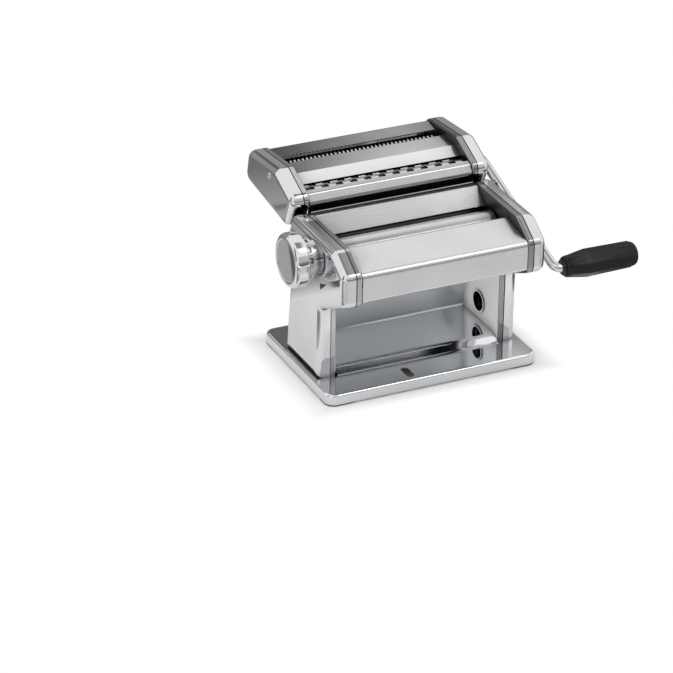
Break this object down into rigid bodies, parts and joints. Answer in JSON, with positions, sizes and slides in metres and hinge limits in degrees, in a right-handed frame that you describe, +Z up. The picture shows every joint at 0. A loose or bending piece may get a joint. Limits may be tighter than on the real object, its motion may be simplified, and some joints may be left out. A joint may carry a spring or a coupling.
{
  "type": "pasta roller machine",
  "caption": "Hand-cranked pasta roller with smooth sheeting rollers, a gap dial, a removable double cutter head and a plug-in crank.",
  "frame": {"origin": "on the table, under the middle of the base; the rim of the base is 1.4 mm above it", "axes": "+X right to the crank side, +Y back to the cutter head, +Z up"},
  "size_m": [0.316, 0.2025, 0.1694],
  "materials": {
    "base_steel": "polished sheet steel",
    "rubber": "moulded, matt",
    "zinc_steel": "zinc plated",
    "shell_chrome": "polished chrome plate",
    "satin_sheet": "satin plated sheet",
    "roller_alloy": "satin anodised roller",
    "gear_steel": "machined steel",
    "spring_steel": "drawn wire",
    "bush_brass": "turned",
    "scraper_plastic": "smooth",
    "dial_plastic": "smooth, with printed numbers",
    "cutter_alloy": "turned, satin",
    "cutter_gear_steel": "machined steel",
    "comb_steel": "pressed sheet",
    "crank_chrome": "polished chrome plate",
    "grip_black": "satin black"
  },
  "bodies": {
    "frame": {"base_pan": "base_steel", "rubber_feet": "rubber", "base_screws": "zinc_steel", "base_nuts": "zinc_steel", "left_outer_shell": "shell_chrome", "right_outer_shell": "shell_chrome", "left_side_plate": "shell_chrome", "right_side_plate": "shell_chrome", "tie_rods": "zinc_steel", "shell_studs": "zinc_steel", "front_cover": "satin_sheet", "dough_chute": "satin_sheet", "back_panel": "shell_chrome", "rear_scraper": "scraper_plastic", "roller_bushes": "bush_brass", "carriage_guides": "zinc_steel", "dial_collar": "shell_chrome"},
    "rear_roller": {"rear_roller": "roller_alloy", "rear_gear": "gear_steel"},
    "carriage": {"left_bearing_block": "gear_steel", "right_bearing_block": "gear_steel", "carriage_bar": "gear_steel", "front_scraper": "scraper_plastic"},
    "front_roller": {"front_roller": "roller_alloy", "front_gear": "gear_steel"},
    "adjuster": {"adjuster_shaft": "gear_steel", "knob_retainer": "gear_steel", "knob_spring": "spring_steel"},
    "knob": {"adjuster_knob": "shell_chrome", "dial_ring": "dial_plastic"},
    "cutter_head": {"cutter_left_cap": "shell_chrome", "cutter_right_cap": "shell_chrome", "cutter_left_plate": "shell_chrome", "cutter_right_plate": "shell_chrome", "dock_tongues": "gear_steel", "cutter_bushes": "bush_brass", "cutter_front_cover": "satin_sheet", "cutter_roof": "satin_sheet", "cutter_rear_cover": "satin_sheet", "cutter_tie_rods": "zinc_steel", "cutter_studs": "zinc_steel", "cap_screws": "shell_chrome", "wide_front_comb": "comb_steel", "wide_rear_comb": "comb_steel", "fine_front_comb": "comb_steel", "fine_rear_comb": "comb_steel"},
    "wide_drive": {"wide_drive_roller": "cutter_alloy", "wide_drive_gear": "cutter_gear_steel"},
    "wide_idler": {"wide_idler_roller": "cutter_alloy", "wide_idler_gear": "cutter_gear_steel"},
    "fine_drive": {"fine_drive_roller": "cutter_alloy", "fine_drive_gear": "cutter_gear_steel"},
    "fine_idler": {"fine_idler_roller": "cutter_alloy", "fine_idler_gear": "cutter_gear_steel"},
    "crank": {"crank_rod": "crank_chrome", "grip_washer": "crank_chrome"},
    "grip": {"crank_grip": "grip_black"}
  },
  "joints": [
    {"name": "rear_roller_spin", "type": "hinge", "parent": "frame", "child": "rear_roller", "pos_m": [0, 0.0112, 0.1175], "axis": [1, 0, 0], "continuous": true},
    {"name": "gap_slide", "type": "slide", "parent": "frame", "child": "carriage", "axis": [0, 1, 0], "range_m": [0, 0.0036]},
    {"name": "front_roller_spin", "type": "hinge", "parent": "carriage", "child": "front_roller", "pos_m": [0, -0.019, 0.1175], "axis": [1, 0, 0], "continuous": true},
    {"name": "knob_turn", "type": "hinge", "parent": "frame", "child": "adjuster", "pos_m": [-0.1, -0.0224, 0.122], "axis": [1, 0, 0], "range_deg": [0, 270]},
    {"name": "knob_pull", "type": "slide", "parent": "adjuster", "child": "knob", "axis": [-1, 0, 0], "range_m": [0, 0.005], "stiffness_N_per_m": 400, "springref_m": -0.004, "deforming": ["knob_spring"]},
    {"name": "cutter_lift", "type": "slide", "parent": "frame", "child": "cutter_head", "axis": [0, -0.3939, 0.9191], "range_m": [0, 0.06]},
    {"name": "wide_drive_spin", "type": "hinge", "parent": "cutter_head", "child": "wide_drive", "pos_m": [0, 0.0536, 0.1465], "axis": [1, 0, 0], "continuous": true},
    {"name": "wide_idler_spin", "type": "hinge", "parent": "cutter_head", "child": "wide_idler", "pos_m": [0, 0.036, 0.1465], "axis": [1, 0, 0], "continuous": true},
    {"name": "fine_drive_spin", "type": "hinge", "parent": "cutter_head", "child": "fine_drive", "pos_m": [0, 0.092, 0.149], "axis": [1, 0, 0], "continuous": true},
    {"name": "fine_idler_spin", "type": "hinge", "parent": "cutter_head", "child": "fine_idler", "pos_m": [0, 0.0744, 0.149], "axis": [1, 0, 0], "continuous": true},
    {"name": "crank_pull", "type": "slide", "parent": "wide_drive", "child": "crank", "axis": [1, 0, 0], "range_m": [0, 0.03]},
    {"name": "grip_spin", "type": "hinge", "parent": "crank", "child": "grip", "pos_m": [0.16, -0.05987, 0.08514], "axis": [1, 0, 0], "continuous": true}
  ],
  "couplings": [
    {"joint": "front_roller_spin", "follows": "rear_roller_spin", "ratio": -1},
    {"joint": "knob_turn", "follows": "gap_slide", "rad_per_m": 1309},
    {"joint": "wide_idler_spin", "follows": "wide_drive_spin", "ratio": -1},
    {"joint": "fine_idler_spin", "follows": "fine_drive_spin", "ratio": -1}
  ]
}
